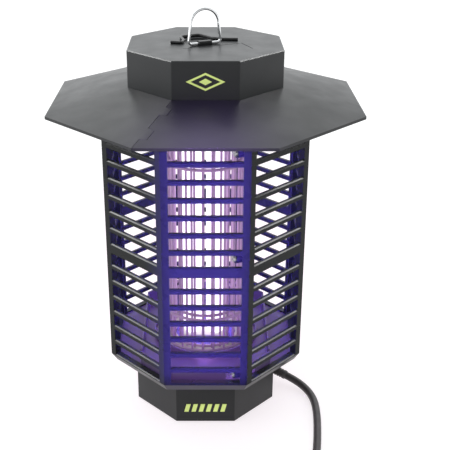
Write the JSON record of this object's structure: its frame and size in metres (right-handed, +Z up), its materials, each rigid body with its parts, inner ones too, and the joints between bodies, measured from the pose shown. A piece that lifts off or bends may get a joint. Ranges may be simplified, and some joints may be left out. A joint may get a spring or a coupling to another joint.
{
  "type": "electric bug zapper",
  "caption": "Lantern-style electric insect killer: ultraviolet lamp and rod electrodes in a slatted octagonal guard, with a roof, hanging bail and mains cord.",
  "frame": {"origin": "on the floor under the lantern's vertical axis, at the middle of the roof's outline", "axes": "+Z up, -Y towards the front flat with the badges, +X to the right where the cord leaves"},
  "size_m": [0.2514, 0.3672, 0.3602],
  "materials": {
    "charcoal_plastic": "satin moulded",
    "black_plastic": "satin moulded",
    "black_rubber": "matte",
    "screw_steel": "zinc plated",
    "board_green": "solder mask",
    "core_steel": "laminated",
    "copper_enamel": "varnished",
    "capacitor_blue": "glossy",
    "resistor_tan": "glossy",
    "fuse_glass": "clear",
    "white_plastic": "satin moulded",
    "lead_black": "glossy",
    "lead_white": "glossy",
    "lead_red": "glossy",
    "lamp_glass": "glowing glass",
    "electrode_steel": "galvanised",
    "bail_chrome": "polished",
    "retainer_black": "glossy",
    "lime_paint": "printed",
    "cord_rubber": "satin",
    "plug_rubber": "satin moulded",
    "blade_brass": "plain"
  },
  "bodies": {
    "lantern": {"base_housing": "charcoal_plastic", "base_bottom_cover": "black_plastic", "rubber_feet": "black_rubber", "base_screws": "screw_steel", "cage_floor": "charcoal_plastic", "circuit_board": "board_green", "board_standoffs": "black_plastic", "ballast_core": "core_steel", "ballast_winding": "copper_enamel", "multiplier_capacitors": "capacitor_blue", "multiplier_diodes": "black_plastic", "discharge_resistor": "resistor_tan", "fuse": "fuse_glass", "terminal_block": "white_plastic", "mains_leads": "lead_black", "lamp_leads": "lead_white", "grid_leads": "lead_red", "guard_front": "charcoal_plastic", "guard_rear": "charcoal_plastic", "guard_screws": "screw_steel", "catch_tray": "black_plastic", "lamp_tubes": "lamp_glass", "lamp_cap": "white_plastic", "lamp_pins": "screw_steel", "lamp_holder": "white_plastic", "lamp_top_clip": "white_plastic", "outer_electrode": "electrode_steel", "inner_electrode": "electrode_steel", "lower_insulator": "white_plastic", "upper_insulator": "white_plastic", "insulator_standoffs": "white_plastic", "top_deck": "charcoal_plastic", "deck_screws": "screw_steel", "roof_left": "charcoal_plastic", "roof_right": "charcoal_plastic", "roof_screws": "screw_steel", "cap_shell": "charcoal_plastic", "cap_screws": "screw_steel", "bail_saddle": "charcoal_plastic", "bail_retainer": "retainer_black", "cap_badge": "lime_paint", "base_badge": "lime_paint", "strain_relief": "cord_rubber", "power_cord": "cord_rubber", "cord_tail": "cord_rubber", "cord_coil": "cord_rubber", "cord_tie": "black_plastic", "plug_body": "plug_rubber", "plug_blades": "blade_brass"},
    "bail": {"hanger_bail": "bail_chrome"}
  },
  "joints": [
    {"name": "bail_hinge", "type": "hinge", "parent": "lantern", "child": "bail", "pos_m": [-0.0007, -0.008, 0.33135], "axis": [0.9239, 0.3827, 0], "range_deg": [-70, 88]}
  ]
}
